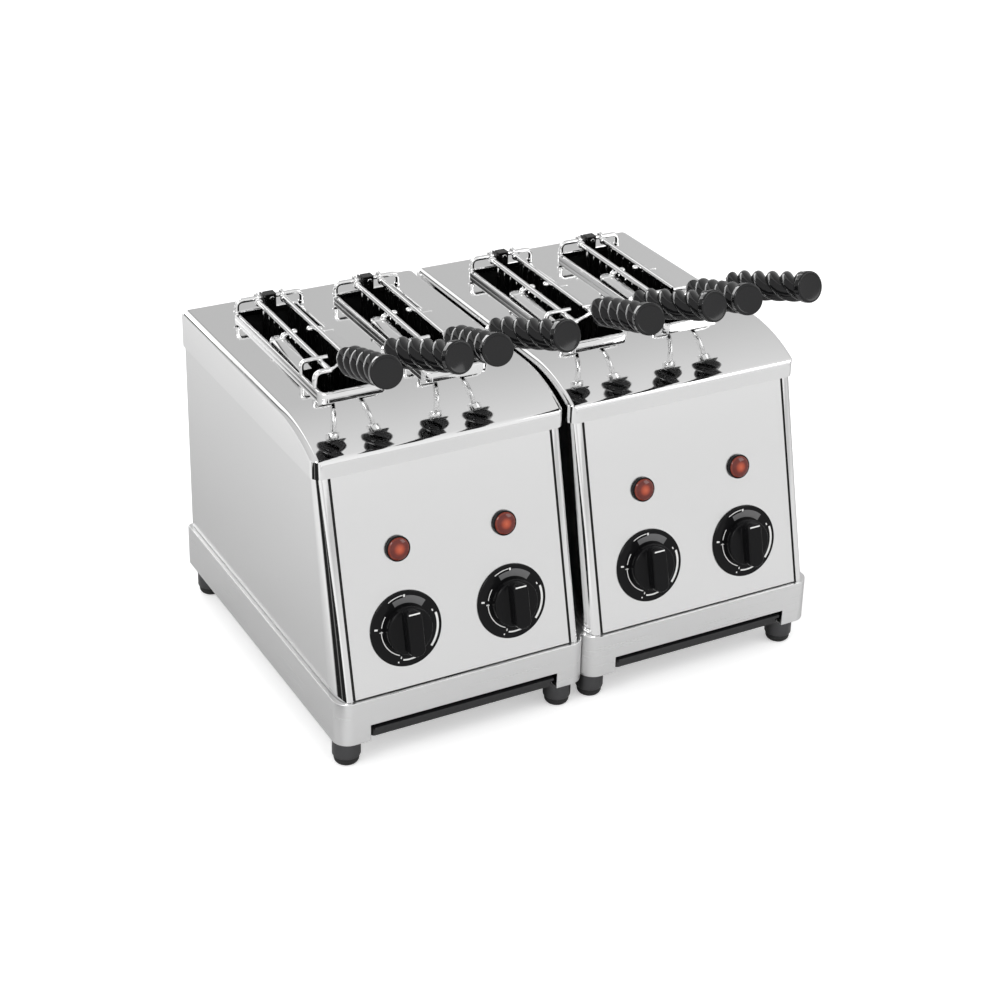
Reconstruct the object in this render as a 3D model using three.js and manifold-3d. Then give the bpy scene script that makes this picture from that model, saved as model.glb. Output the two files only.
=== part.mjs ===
// A counter-top tong toaster: two stainless cabinets side by side, each with two slots.
// A wire tong with two twisted handles stands in every slot and lifts out with the bread.
// Millimetres. +X is to the right, +Y to the back, +Z up; the feet stand on Z = 0.
import * as THREE from "three";
import { mergeVertices } from "three/addons/utils/BufferGeometryUtils.js";
import Module from "manifold-3d";

const wasm = await Module();
wasm.setup();

// Cabinets and their levels: the cover's width and depth set those of the band and the wall
const coverWidth = 212;
const coverBack = 316;
const bandStep = 1.8;
const cabinetJoint = 0.4;
const sheet = 1.2;
const fit = 0.3;
const overrun = 6;
const footHeight = 26;
const bandHeight = 37;
const wallHeight = 170;
const coverHeight = 32;

const bandWidth = coverWidth + 2 * bandStep;
const bandDepth = coverBack;
const cabinetPitch = bandWidth + cabinetJoint;
const bandTop = footHeight + bandHeight;
const flangeFoot = bandTop + wallHeight;
const plateTop = flangeFoot + coverHeight;

// Base band with its floor
const bandSheet = 1.5;
const bandCorner = 13;
const bandRearCorner = 3;
const topLip = 9;
const floorHeight = 23.5;
const runnerLip = 33;
const trayMouthWidth = 162;
const trayMouthHeight = 14;
const crumbWindow = { width: 42, length: 150, front: 120 };
const floorLevel = footHeight + floorHeight;
const trayMouthTop = footHeight + trayMouthHeight;

// Cover with its rolled nose
const coverFront = 44;
const coverCorner = 8.5;
const coverEdge = 5;
const noseLength = 65;
const noseSlope = THREE.MathUtils.degToRad(30);
const noseRoll = 6;

// Slots, on centres either side of each cabinet's middle
const slotOffset = 44;
const slotWidth = 53;
const slotLength = 173;
const slotMargin = 35;
const slotCorner = 5;
const rimWall = 2.5;
const rimHeight = 5;
const rimTop = plateTop + rimHeight;
const slotBack = coverBack - slotMargin;
const slotFront = slotBack - slotLength;

// Wrap-round wall and front panel
const wallWidth = coverWidth - 2 * (sheet + fit);
const wallTuck = 12;
const wallCorner = coverCorner - sheet - fit;
const wallCornerDepth = { foot: 23, head: 9 };
const wallBackCorner = coverEdge - sheet + fit;
const panelFoot = 2.6;
const panelMargin = 12;
const panelWidth = wallWidth - 2 * panelMargin;
const panelSheet = 1.5;
const panelGap = 2;
const panelLap = 7;
const panelSeat = 10;

// Front panel furniture, in the panel's own plane
const controlOffset = 45.4;
const dialRise = 46.9;
const lampRise = 110.1;
const dialPlate = { radius: 31, face: 27.5, height: 8.5, bore: 6, edge: 2.5 };
const knob = { radius: 19.5, hub: 5, grip: 13, gripHeight: 8.5, bore: 3.3, boreDepth: 4 };
const timer = { width: 44, height: 44, depth: 30, spindle: 3 };
const lamp = { bezel: 10, bezelHeight: 4.5, lens: 8.8, dome: 3.5, stem: 6.5, stemLength: 14 };

// Tray, feet, heaters and cable gland
const tray = { width: 158, length: 292, depth: 9, sheet: 1.2, front: 3, lip: 3 };
const foot = { radius: 11.2, pad: 10, padHeight: 7, chamfer: 2.5 };
const footInset = { side: 15, front: 20, rear: 13 };
const heater = { width: 72, margin: 4, tube: 2, tubeOffset: 31.2 };
const heaterLevelShares = [0.34, 0.72];
const gland = { flange: 10, neck: 5.6, nut: 8.5, bore: 3.2, dimple: 2, outside: 11, inside: 7 };
const glandPlace = { x: 0, level: 88 };

// Tong, measured from the back end of its slot at the height of the rim
const jawWire = 2;
const gridWire = 1.2;
const jawBend = 8;
const strutWire = 2.3;
const rearStrutWire = 1.9;
const jawOffset = 11;
const jawDepth = 137;
const jawBack = -24;
const jawLength = 128;
const jawBars = 7;
const spineBend = 6;
const hoop = { wire: 2, y: -7, halfSpan: 28.5, top: 11.5, bend: 7 };
const pivotBlock = { width: 16, depth: 8, foot: 3, height: 13 };
const eye = { tube: 1.8, slack: 0.5 };
const strutFoot = 27;
const rearStrut = { y: -135, bend: 4 };
const frontStrut = { riseShare: 0.16, bend: 6 };
const restPeg = { y: -74, wire: 1.5, lift: 2.5 };
const guardStrip = { tip: -66, width: 12.5, sheet: 1.5, inner: 13.5, splayShare: 0.07 };

// Handles: root and cap are the ends of the twisted grip's axis
const gripRoot = new THREE.Vector3(18, -205.5, 39.2);
const gripCap = new THREE.Vector3(28.7, -290.9, 67.8);
const grip = { radius: 11.2, lobe: 1.3, lobes: 3, turn: 51, cap: 12.4, capLength: 6, collar: 9 };
const gripBore = 26;
const tangWire = 2.4;
const tangLength = 24;

// Finishes
const finishes = {
  polished: { color: 0xd9dadb, roughness: 0.08, metalness: 1 },
  brushed: { color: 0xc9cacb, roughness: 0.32, metalness: 1 },
  wire: { color: 0xdcdddd, roughness: 0.18, metalness: 1 },
  tray: { color: 0x17181a, roughness: 0.45, metalness: 0.2 },
  bakelite: { color: 0x0c0c0d, roughness: 0.12, metalness: 0 },
  rubber: { color: 0x1b1b1c, roughness: 0.85, metalness: 0 },
  lens: { color: 0xa23a1c, roughness: 0.15, metalness: 0 },
  quartz: { color: 0xb9b6b0, roughness: 0.4, metalness: 0.5 },
};

// Solids: a closed geometry becomes a solid, and solids are joined and cut.

function solidOf(geometry) {
  const bare = geometry.index ? geometry.toNonIndexed() : geometry.clone();
  bare.deleteAttribute("normal");
  bare.deleteAttribute("uv");
  const merged = mergeVertices(bare, 1e-4);
  return new wasm.Manifold(
    new wasm.Mesh({
      numProp: 3,
      vertProperties: merged.attributes.position.array,
      triVerts: new Uint32Array(merged.index.array),
    }),
  );
}

function geometryOf(solid) {
  const made = solid.getMesh();
  const geometry = new THREE.BufferGeometry();
  geometry.setAttribute("position", new THREE.BufferAttribute(made.vertProperties, 3));
  geometry.setIndex(new THREE.BufferAttribute(made.triVerts, 1));
  geometry.computeVertexNormals();
  return geometry;
}

function joined(geometries) {
  return geometries.map(solidOf).reduce((all, one) => all.add(one));
}

function box(x0, x1, y0, y1, z0, z1) {
  const geometry = new THREE.BoxGeometry(x1 - x0, y1 - y0, z1 - z0);
  return geometry.translate((x0 + x1) / 2, (y0 + y1) / 2, (z0 + z1) / 2);
}

function roundedRectangle(x0, x1, y0, y1, radius, rear = radius) {
  const shape = new THREE.Shape();
  shape.absarc(x1 - radius, y0 + radius, radius, -Math.PI / 2, 0);
  shape.absarc(x1 - rear, y1 - rear, rear, 0, Math.PI / 2);
  shape.absarc(x0 + rear, y1 - rear, rear, Math.PI / 2, Math.PI);
  shape.absarc(x0 + radius, y0 + radius, radius, Math.PI, Math.PI * 1.5);
  return shape;
}

function upright(shape, z0, z1, curveSegments = 3) {
  const options = { depth: z1 - z0, bevelEnabled: false, curveSegments };
  return new THREE.ExtrudeGeometry(shape, options).translate(0, 0, z0);
}

// A revolved piece on the Z axis; each profile point is a radius and a height.
function revolved(profile, segments) {
  const points = profile.map(([radius, height]) => new THREE.Vector2(radius, height));
  return new THREE.LatheGeometry(points, segments).rotateX(Math.PI / 2);
}

// Rings of points with the same count are skinned, and both ends are closed.
function lofted(rings) {
  const count = rings[0].length;
  const positions = rings.flat().flatMap((p) => [p.x, p.y, p.z]);
  const faces = [];
  for (let i = 0; i + 1 < rings.length; i++)
    for (let j = 0; j < count; j++) {
      const k = (j + 1) % count;
      const [a, b, c, d] = [i * count + j, i * count + k, (i + 1) * count + j, (i + 1) * count + k];
      faces.push(a, b, d, a, d, c);
    }
  const flat = rings[0].map((p) => new THREE.Vector2(p.x, p.y));
  const last = (rings.length - 1) * count;
  for (const [a, b, c] of THREE.ShapeUtils.triangulateShape(flat, []))
    faces.push(c, b, a, last + a, last + b, last + c);
  const geometry = new THREE.BufferGeometry();
  geometry.setAttribute("position", new THREE.Float32BufferAttribute(positions, 3));
  geometry.setIndex(faces);
  return geometry;
}

// A wire's route: straight runs whose corners are bent to a radius.
class Route extends THREE.Curve {
  constructor(corners, bend = 0, steps = 3) {
    super();
    this.points = [corners[0]];
    for (let i = 1; i + 1 < corners.length; i++) {
      const inward = corners[i - 1].clone().sub(corners[i]).normalize();
      const outward = corners[i + 1].clone().sub(corners[i]).normalize();
      const start = corners[i].clone().addScaledVector(inward, bend);
      const end = corners[i].clone().addScaledVector(outward, bend);
      const arc = new THREE.QuadraticBezierCurve3(start, corners[i], end);
      this.points.push(...(bend ? arc.getPoints(steps) : [corners[i]]));
    }
    this.points.push(corners.at(-1));
  }
  getUtoTmapping(u) {
    return u;
  }
  getPoint(t, target = new THREE.Vector3()) {
    const place = t * (this.points.length - 1);
    const i = Math.min(Math.floor(place), this.points.length - 2);
    return target.lerpVectors(this.points[i], this.points[i + 1], place - i);
  }
}

function wire(corners, radius, { bend = 0, steps = 3, sides = 6 } = {}) {
  const route = new Route(corners, bend, steps);
  const section = new THREE.Shape();
  for (let i = 0; i < sides; i++) {
    const angle = (i / sides) * Math.PI * 2;
    section[i ? "lineTo" : "moveTo"](radius * Math.cos(angle), radius * Math.sin(angle));
  }
  return new THREE.ExtrudeGeometry(section, { steps: route.points.length - 1, extrudePath: route });
}

const at = (x, y, z) => new THREE.Vector3(x, y, z);

const root = new THREE.Group();
const machine = new THREE.Group();
root.add(machine);

function place(parent, name, geometry, finish) {
  const mesh = new THREE.Mesh(geometry, new THREE.MeshStandardMaterial(finishes[finish]));
  mesh.name = name;
  parent.add(mesh);
  return mesh;
}

// Base band: a deep ring with a floor, open below for the tray and cut away at the front.
function baseBand() {
  const half = bandWidth / 2;
  const ring = (inset, z0, z1) => {
    const corner = Math.max(bandCorner - inset, bandSheet);
    const rear = Math.max(bandRearCorner - inset, bandSheet);
    const plan = roundedRectangle(inset - half, half - inset, inset, bandDepth - inset, corner, rear);
    return solidOf(upright(plan, z0, z1, inset ? 2 : 3));
  };
  const mouth = trayMouthWidth / 2;
  const lipEdge = half - runnerLip;
  let band = ring(0, footHeight, bandTop);
  band = band.subtract(ring(topLip, floorLevel, bandTop + overrun));
  band = band.subtract(ring(bandSheet, floorLevel, bandTop - bandSheet));
  band = band.subtract(ring(bandSheet, footHeight + bandSheet, floorLevel - bandSheet));
  const below = footHeight - overrun;
  const lipBack = bandDepth - runnerLip;
  const underside = box(-lipEdge, lipEdge, -overrun, lipBack, below, footHeight + bandSheet);
  const trayMouth = box(-mouth, mouth, -overrun, topLip, below, trayMouthTop);
  band = band.subtract(solidOf(underside)).subtract(solidOf(trayMouth));
  const { width, length, front } = crumbWindow;
  for (const side of [-1, 1]) {
    const x = side * slotOffset;
    const hole = box(x - width / 2, x + width / 2, front, front + length, footHeight, bandTop);
    band = band.subtract(solidOf(hole));
  }
  return geometryOf(band);
}

// The cover's side outline, drawn in Y and Z and shrunk by an inset.
function coverOutline(inset) {
  const sine = Math.sin(noseSlope);
  const cosine = Math.cos(noseSlope);
  const front = coverFront + inset;
  const back = coverBack - inset;
  const top = plateTop - inset;
  const roll = Math.max(noseRoll - inset, sheet);
  const length = noseLength - inset;
  const sweep = (length - roll * (1 - sine)) / sine;
  const shoulder = top - sweep * (1 - cosine) - roll * cosine;
  const outline = new THREE.Shape();
  outline.moveTo(back, flangeFoot - overrun);
  outline.lineTo(back, top - coverEdge);
  outline.lineTo(back - coverEdge * (1 - Math.SQRT1_2), top - coverEdge * (1 - Math.SQRT1_2));
  outline.lineTo(back - coverEdge, top);
  outline.absarc(front + length, top - sweep, sweep, Math.PI / 2, Math.PI / 2 + noseSlope);
  outline.absarc(front + roll, shoulder, roll, Math.PI / 2 + noseSlope, Math.PI);
  outline.lineTo(front, flangeFoot - overrun);
  return outline;
}

// A block with the cover's outline; its long top edges and its rear corners are rounded off.
function coverBlock(inset) {
  const edge = Math.max(coverEdge - inset, sheet);
  const half = coverWidth / 2 - inset;
  const across = new THREE.ExtrudeGeometry(coverOutline(inset + edge), {
    depth: 2 * (half - edge),
    bevelSize: edge,
    bevelThickness: edge,
    bevelSegments: 2,
    curveSegments: 4,
  });
  across.translate(0, 0, edge - half);
  across.applyMatrix4(new THREE.Matrix4().set(0, 0, 1, 0, 1, 0, 0, 0, 0, 1, 0, 0, 0, 0, 0, 1));
  const corner = coverCorner - inset;
  const plan = roundedRectangle(-half, half, coverFront + inset, coverBack - inset, corner, edge);
  const foot = inset ? flangeFoot - overrun / 2 : flangeFoot;
  return solidOf(across).intersect(solidOf(upright(plan, foot, plateTop + overrun)));
}

function slotPlan(margin) {
  const half = slotWidth / 2 + margin;
  const corner = slotCorner + margin;
  return roundedRectangle(-half, half, slotFront - margin, slotBack + margin, corner);
}

function topCover() {
  let cover = coverBlock(0).subtract(coverBlock(sheet));
  for (const side of [-1, 1]) {
    const rim = upright(slotPlan(rimWall), plateTop - sheet, rimTop, 2).translate(side * slotOffset, 0, 0);
    cover = cover.add(solidOf(rim));
  }
  for (const side of [-1, 1]) {
    const hole = upright(slotPlan(0), flangeFoot, rimTop + overrun, 2).translate(side * slotOffset, 0, 0);
    cover = cover.subtract(solidOf(hole));
  }
  return geometryOf(cover);
}

// How far the leaning front stands back at a height.
const frontHead = coverFront + sheet + fit;
const lean = (frontHead - panelFoot) / wallHeight;
const leanAngle = Math.atan(lean);
const frontAt = (z) => panelFoot + (z - bandTop) * lean;

// The wall's plan at a height: sides and back, rounded front corners and a stepped seat for the panel.
function wallPlan(z) {
  const face = frontAt(z);
  const half = wallWidth / 2;
  const back = coverBack - sheet - fit;
  const rear = wallBackCorner;
  const step = panelSheet + fit;
  const returnEnd = panelWidth / 2 + panelGap;
  const seatEnd = returnEnd - panelSeat;
  const { foot: deep, head: shallow } = wallCornerDepth;
  const roll = THREE.MathUtils.mapLinear(z, bandTop, flangeFoot, deep, shallow);
  const quarter = (x, y, across, along, start) =>
    [0, 1, 2, 3].map((i) => {
      const angle = start - (i / 3) * (Math.PI / 2);
      return at(x + across * Math.cos(angle), y + along * Math.sin(angle), z);
    });
  const side = (skin) => [
    at(-seatEnd, face + step + skin, z),
    at(-returnEnd - skin, face + step + skin, z),
    at(-returnEnd - skin, face + skin, z),
    ...quarter(wallCorner - half, face + roll, wallCorner - skin, roll - skin, -Math.PI / 2),
    ...quarter(rear - half, back - rear, rear - skin, rear - skin, Math.PI),
  ];
  const mirrored = (points) => points.map((p) => at(-p.x, p.y, z)).reverse();
  const outer = [...side(0), ...mirrored(side(0))];
  const inner = [...side(sheet), ...mirrored(side(sheet))].reverse();
  return [...outer, ...inner].reverse();
}

function wrapWall() {
  const skin = solidOf(lofted([wallPlan(bandTop + fit), wallPlan(flangeFoot + wallTuck)]));
  const bore = new THREE.CylinderGeometry(gland.neck + 3 * fit, gland.neck + 3 * fit, 4 * overrun, 10);
  bore.translate(glandPlace.x, coverBack, glandPlace.level);
  return geometryOf(skin.subtract(solidOf(bore)));
}

// Front panel, drawn in its own plane with its foot at the origin.
const panelLength = (wallHeight + panelLap) / Math.cos(leanAngle);

function frontPanel() {
  const half = panelWidth / 2;
  const plan = new THREE.Shape();
  plan.moveTo(-half, panelSheet / 2);
  plan.lineTo(half, panelSheet / 2);
  plan.lineTo(half, panelLength);
  plan.lineTo(-half, panelLength);
  for (const side of [-1, 1]) {
    const holes = [
      [dialRise, timer.spindle + 2 * fit],
      [lampRise, lamp.stem + 2 * fit],
    ];
    for (const [rise, radius] of holes)
      plan.holes.push(new THREE.Path().absarc(side * controlOffset, rise, radius, 0, Math.PI * 2, true));
  }
  return upright(plan, -panelSheet, 0, 5);
}

function dialDisc() {
  const { radius, face, height, bore, edge } = dialPlate;
  const profile = [
    [bore, fit],
    [radius, fit],
    [radius, edge],
    [face, height],
    [bore, height],
    [bore, fit],
  ];
  return revolved(profile, 16);
}

function timerKnob() {
  const foot = dialPlate.height + fit;
  const head = foot + knob.hub;
  const { radius, grip: width, gripHeight, bore, boreDepth } = knob;
  const hub = revolved(
    [
      [0, foot + boreDepth],
      [bore, foot + boreDepth],
      [bore, foot],
      [radius, foot],
      [radius, head - fit],
      [radius - 2 * fit, head],
      [0, head],
    ],
    12,
  );
  const end = radius - width / 2;
  const bar = new THREE.Shape();
  bar.absarc(0, end - fit, width / 2, 0, Math.PI);
  bar.absarc(0, fit - end, width / 2, Math.PI, Math.PI * 2);
  const rise = new THREE.ExtrudeGeometry(bar, { depth: gripHeight, bevelEnabled: false, curveSegments: 2 });
  rise.translate(0, 0, head - fit);
  return geometryOf(solidOf(hub).add(solidOf(rise)));
}

function timerBox() {
  const { width, height, depth, spindle } = timer;
  const face = -panelSheet - fit;
  const body = box(-width / 2, width / 2, -height / 2, height / 2, face - depth, face);
  const tip = dialPlate.height + knob.boreDepth;
  const pin = new THREE.CylinderGeometry(spindle, spindle, tip - face + sheet, 8).rotateX(Math.PI / 2);
  pin.translate(0, 0, (tip + face - sheet) / 2);
  return geometryOf(solidOf(body).add(solidOf(pin)));
}

const domeTurn = Math.PI / 4;

function pilotLamp() {
  const { bezel, bezelHeight, lens, dome, stem, stemLength } = lamp;
  const profile = [
    [0, -stemLength],
    [stem, -stemLength],
    [stem, fit],
    [bezel, fit],
    [bezel - fit, bezelHeight],
    [lens, bezelHeight],
    [lens * Math.cos(domeTurn), bezelHeight + dome * Math.sin(domeTurn)],
    [0, bezelHeight + dome],
  ];
  return revolved(profile, 12);
}

function rubberFoot() {
  const { radius, pad, padHeight, chamfer } = foot;
  const head = footHeight - fit;
  const profile = [
    [0, 0],
    [pad - chamfer, 0],
    [pad, chamfer],
    [pad, padHeight],
    [radius, padHeight],
    [radius, head],
    [0, head],
  ];
  return revolved(profile, 8);
}

function crumbTray() {
  const { width, length, depth, sheet: skin, front, lip } = tray;
  const half = width / 2;
  const level = footHeight + bandSheet + fit;
  let pan = solidOf(box(-half, half, front, front + length, level, level + depth));
  const inside = box(skin - half, half - skin, front + skin, front + length - skin, level + skin, bandTop);
  pan = pan.subtract(solidOf(inside));
  const pull = box(-half, half, front - lip, front + skin, level + depth - 2 * skin, level + depth);
  return geometryOf(pan.add(solidOf(pull)));
}

// Heater cage of one slot: reflector walls round the well, with a pair of quartz tubes on each side.
function heaterCage() {
  const { width, margin, tube, tubeOffset } = heater;
  const half = width / 2;
  const front = slotFront - margin - sheet;
  const back = slotBack + margin;
  const low = floorLevel + fit;
  const top = plateTop - sheet - 3 * fit;
  const plates = [
    box(-half, half, front, front + sheet, low, top),
    box(-half, half, back, back + sheet, low, top),
    box(-half, sheet - half, front, back + sheet, low, top),
    box(half - sheet, half, front, back + sheet, low, top),
  ];
  const tubes = [-1, 1].flatMap((side) =>
    heaterLevelShares.map((share) => {
      const level = low + (top - low) * share;
      const ends = [front + sheet / 2, back + sheet / 2];
      return wire(ends.map((y) => at(side * tubeOffset, y, level)), tube, { sides: 5 });
    }),
  );
  return geometryOf(joined([...plates, ...tubes]));
}

function cableGland() {
  const { flange, neck, nut, bore, dimple, outside, inside } = gland;
  const wall = 3 * fit + sheet;
  const profile = [
    [0, dimple - outside],
    [bore, dimple - outside],
    [bore, -outside],
    [neck, -outside],
    [flange, -outside / 2],
    [flange, 0],
    [neck, 0],
    [neck, wall],
    [nut, wall],
    [nut, wall + inside],
    [0, wall + inside],
  ];
  return revolved(profile, 8);
}

// Tong, drawn about its slot's middle.
const eyeRadius = hoop.wire + eye.slack + eye.tube;
const jawTop = hoop.top - eyeRadius;
const jawFront = jawBack - jawLength;
const jawFoot = -jawDepth;
const spineFront = jawFront - jawWire;

function tongPivot() {
  const { wire: radius, y, halfSpan, top, bend } = hoop;
  const leg = (x) => [at(x, y, fit), at(x, y, top)];
  const corners = [...leg(-halfSpan), ...leg(halfSpan).reverse()];
  const bow = wire(corners, radius, { bend, steps: 2 });
  const { width, depth, foot: blockFoot, height } = pivotBlock;
  const half = width / 2;
  const block = box(-half, half, y - depth / 2, y + depth / 2, blockFoot, blockFoot + height);
  return geometryOf(joined([bow, block]));
}

// One jaw's grid: a bent outline with upright bars between its foot and the top wire.
function jawGrid() {
  const post = (y) => wire([at(jawOffset, y, jawFoot), at(jawOffset, y, jawTop)], gridWire, { sides: 3 });
  const corners = [
    at(jawOffset, jawFront, jawTop),
    at(jawOffset, jawFront, jawFoot),
    at(jawOffset, jawBack, jawFoot),
    at(jawOffset, jawBack, jawTop),
  ];
  const bars = [wire(corners, jawWire, { bend: jawBend, steps: 1, sides: 5 })];
  for (let i = 1; i < jawBars; i++) bars.push(post(THREE.MathUtils.lerp(jawFront, jawBack, i / jawBars)));
  return bars;
}

const gripAxis = gripCap.clone().sub(gripRoot).normalize();
const alongGrip = (distance) => gripRoot.clone().addScaledVector(gripAxis, distance);

// The right-hand jaw; the left one is its mirror image.
function tongJaw() {
  const hub = alongGrip(-3 * strutWire);
  const back = at(jawOffset, hoop.y, jawTop);
  const front = at(jawOffset, spineFront, jawTop);
  const route = [back, front, hub, alongGrip(tangLength)];
  const spine = wire(route, tangWire, { bend: spineBend, steps: 1, sides: 5 });
  const ring = new THREE.TorusGeometry(eyeRadius, eye.tube, 4, 7).rotateY(Math.PI / 2);
  ring.translate(jawOffset, hoop.y, hoop.top);
  const strut = (start, bend, radius) => {
    const shoulder = start.clone().setX(strutFoot);
    return wire([start, shoulder, shoulder.clone().setZ(fit)], radius, { bend, steps: 1, sides: 4 });
  };
  const rearStart = at(jawOffset, rearStrut.y, jawTop + tangWire + rearStrutWire / 2);
  const frontStart = front.clone().lerp(hub, frontStrut.riseShare);
  const level = fit + restPeg.lift;
  const pegEnd = at(strutFoot, restPeg.y, level);
  const pegRoot = at(jawOffset, restPeg.y, jawTop);
  const pegKnee = pegRoot.clone().lerp(pegEnd, 0.5).setZ(level);
  const peg = wire([pegRoot, pegKnee, pegEnd], restPeg.wire, { sides: 4 });
  const { tip, width, sheet: skin, inner, splayShare } = guardStrip;
  const splay = (tip - rearStrut.y) * splayShare;
  const strip = new THREE.Shape();
  strip.moveTo(inner + splay, rearStrut.y);
  strip.lineTo(inner + width + splay, rearStrut.y);
  strip.absarc(inner + width / 2, tip - width / 2, width / 2, 0, Math.PI);
  const guard = upright(strip, level - skin / 2, level + skin / 2, 2);
  const rear = strut(rearStart, rearStrut.bend, rearStrutWire);
  const fore = strut(frontStart, frontStrut.bend, strutWire);
  return joined([spine, ...jawGrid(), ring, rear, fore, peg, guard]);
}

// Twisted grip with a round cap, along +Z from its root; bored for the jaw's tang.
function gripBody() {
  const length = gripRoot.distanceTo(gripCap);
  const { radius, lobe, lobes, turn, cap, capLength, collar } = grip;
  const boreSides = 6;
  const bore = (tangWire + fit) / Math.cos(Math.PI / boreSides);
  const around = lobes * 3;
  const twistedLength = length - capLength;
  const rows = Math.round(twistedLength / (turn / 6));
  const ring = (size, height, swell) =>
    Array.from({ length: around }, (_, i) => {
      const angle = (i / around + height / turn) * Math.PI * 2;
      const r = size + swell * Math.cos((i / around) * lobes * Math.PI * 2);
      return at(r * Math.cos(angle), r * Math.sin(angle), height);
    });
  const rings = [ring(collar, 0, 0)];
  const shoulder = collar / 3;
  const step = (twistedLength - shoulder) / rows;
  for (let i = 0; i < rows; i++) rings.push(ring(radius, shoulder + i * step, lobe));
  rings.push(ring(cap, twistedLength, 0), ring(cap, length - lobe, 0), ring(cap - lobe, length, 0));
  const hole = new THREE.CylinderGeometry(bore, bore, 2 * gripBore, boreSides).rotateX(Math.PI / 2);
  return solidOf(lofted(rings)).subtract(solidOf(hole));
}

function mirroredX(solid) {
  const made = geometryOf(solid).scale(-1, 1, 1);
  const order = made.index.array;
  for (let i = 0; i < order.length; i += 3) [order[i], order[i + 1]] = [order[i + 1], order[i]];
  return made;
}

// Assembly
const jaw = tongJaw();
const gripSolid = gripBody();
const pivot = tongPivot();
const faceUp = new THREE.Vector3(0, 0, 1);
const sides = [["left", -1], ["right", 1]];

// Slots are numbered from the left, and each one's pieces carry its number.
function addTong(parent, number, x) {
  const tong = new THREE.Group();
  tong.position.set(x, slotBack, rimTop);
  parent.add(tong);
  const label = "tong_" + number;
  place(tong, label + "_pivot", pivot, "wire");
  for (const [side, turned] of sides) {
    const jawShape = turned > 0 ? geometryOf(jaw) : mirroredX(jaw);
    place(tong, [label, side, "jaw"].join("_"), jawShape, "wire");
    const handle = place(tong, [label, side, "handle"].join("_"), geometryOf(gripSolid), "bakelite");
    handle.position.set(turned * gripRoot.x, gripRoot.y, gripRoot.z);
    const axis = at(turned * gripAxis.x, gripAxis.y, gripAxis.z);
    handle.quaternion.setFromUnitVectors(faceUp, axis);
  }
}

function addControls(front, number, x) {
  const controls = new THREE.Group();
  controls.position.x = x;
  front.add(controls);
  place(controls, "dial_plate_" + number, dialDisc(), "bakelite").position.y = dialRise;
  place(controls, "timer_knob_" + number, timerKnob(), "bakelite").position.y = dialRise;
  place(controls, "timer_" + number, timerBox(), "tray").position.y = dialRise;
  place(controls, "pilot_lamp_" + number, pilotLamp(), "lens").position.y = lampRise;
}

function addCabinet(parent, label, x, firstNumber) {
  const cabinet = new THREE.Group();
  cabinet.position.x = x;
  parent.add(cabinet);
  place(cabinet, label + "_base_band", baseBand(), "brushed");
  place(cabinet, label + "_wrap_wall", wrapWall(), "brushed");
  place(cabinet, label + "_top_cover", topCover(), "polished");
  place(cabinet, label + "_crumb_tray", crumbTray(), "tray");
  const inlet = place(cabinet, label + "_cable_gland", cableGland(), "bakelite");
  inlet.rotation.x = Math.PI / 2;
  inlet.position.set(glandPlace.x, coverBack - sheet, glandPlace.level);
  const rows = [["front", footInset.front], ["rear", bandDepth - footInset.rear]];
  for (const [row, y] of rows)
    for (const [side, turned] of sides) {
      const pad = place(cabinet, [label, "foot", row, side].join("_"), rubberFoot(), "rubber");
      pad.position.set(turned * (bandWidth / 2 - footInset.side), y, 0);
    }
  const front = new THREE.Group();
  front.position.set(0, panelFoot, bandTop + fit);
  front.rotation.x = Math.PI / 2 - leanAngle;
  cabinet.add(front);
  place(front, label + "_front_panel", frontPanel(), "brushed");
  sides.forEach(([, turned], i) => {
    const number = firstNumber + i;
    const cage = place(cabinet, "heater_cage_" + number, heaterCage(), "quartz");
    cage.position.x = turned * slotOffset;
    addControls(front, number, turned * controlOffset);
    addTong(cabinet, number, turned * slotOffset);
  });
}

addCabinet(machine, "left", -cabinetPitch / 2, 1);
addCabinet(machine, "right", cabinetPitch / 2, 3);

// The part's origin is the middle of its footprint, on the counter.
const extent = new THREE.Box3().setFromObject(root);
machine.position.y = -(extent.min.y + extent.max.y) / 2;

export default root;
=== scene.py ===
import math

import bpy
from mathutils import Matrix, Vector


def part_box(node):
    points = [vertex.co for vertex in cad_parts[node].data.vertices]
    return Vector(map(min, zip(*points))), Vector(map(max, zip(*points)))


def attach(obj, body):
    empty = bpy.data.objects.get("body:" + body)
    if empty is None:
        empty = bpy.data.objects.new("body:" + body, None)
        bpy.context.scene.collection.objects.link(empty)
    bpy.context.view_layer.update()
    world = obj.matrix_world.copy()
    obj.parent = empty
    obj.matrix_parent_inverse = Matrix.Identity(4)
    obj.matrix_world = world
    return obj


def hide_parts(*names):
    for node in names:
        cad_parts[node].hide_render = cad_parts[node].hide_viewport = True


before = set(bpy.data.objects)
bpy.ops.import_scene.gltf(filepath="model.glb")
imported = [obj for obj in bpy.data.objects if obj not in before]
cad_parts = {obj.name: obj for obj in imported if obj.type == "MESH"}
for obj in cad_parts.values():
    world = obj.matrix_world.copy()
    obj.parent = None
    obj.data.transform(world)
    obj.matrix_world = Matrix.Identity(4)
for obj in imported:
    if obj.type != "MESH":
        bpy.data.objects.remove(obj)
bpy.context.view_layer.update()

# The photographer's view: a long lens from the front left, above the handles.
# The lens is shifted down a little, as on a camera whose back is kept upright.
front_y = Vector(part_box("left_base_band")[0]).y
camera_place = Vector((-0.7729, front_y - 1.2481, 0.9772))
camera_right = Vector((0.88064, -0.47325, 0.02238)).normalized()
camera_forward = Vector((0.43853, 0.79633, -0.4166)).normalized()
camera_up = camera_right.cross(camera_forward).normalized()
camera_right = camera_forward.cross(camera_up).normalized()
camera_data = bpy.data.cameras.new("camera")
camera_data.lens = 78.0
camera_data.sensor_width = 36
camera_data.shift_y = -0.14
camera_data.clip_start = 0.02
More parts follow.
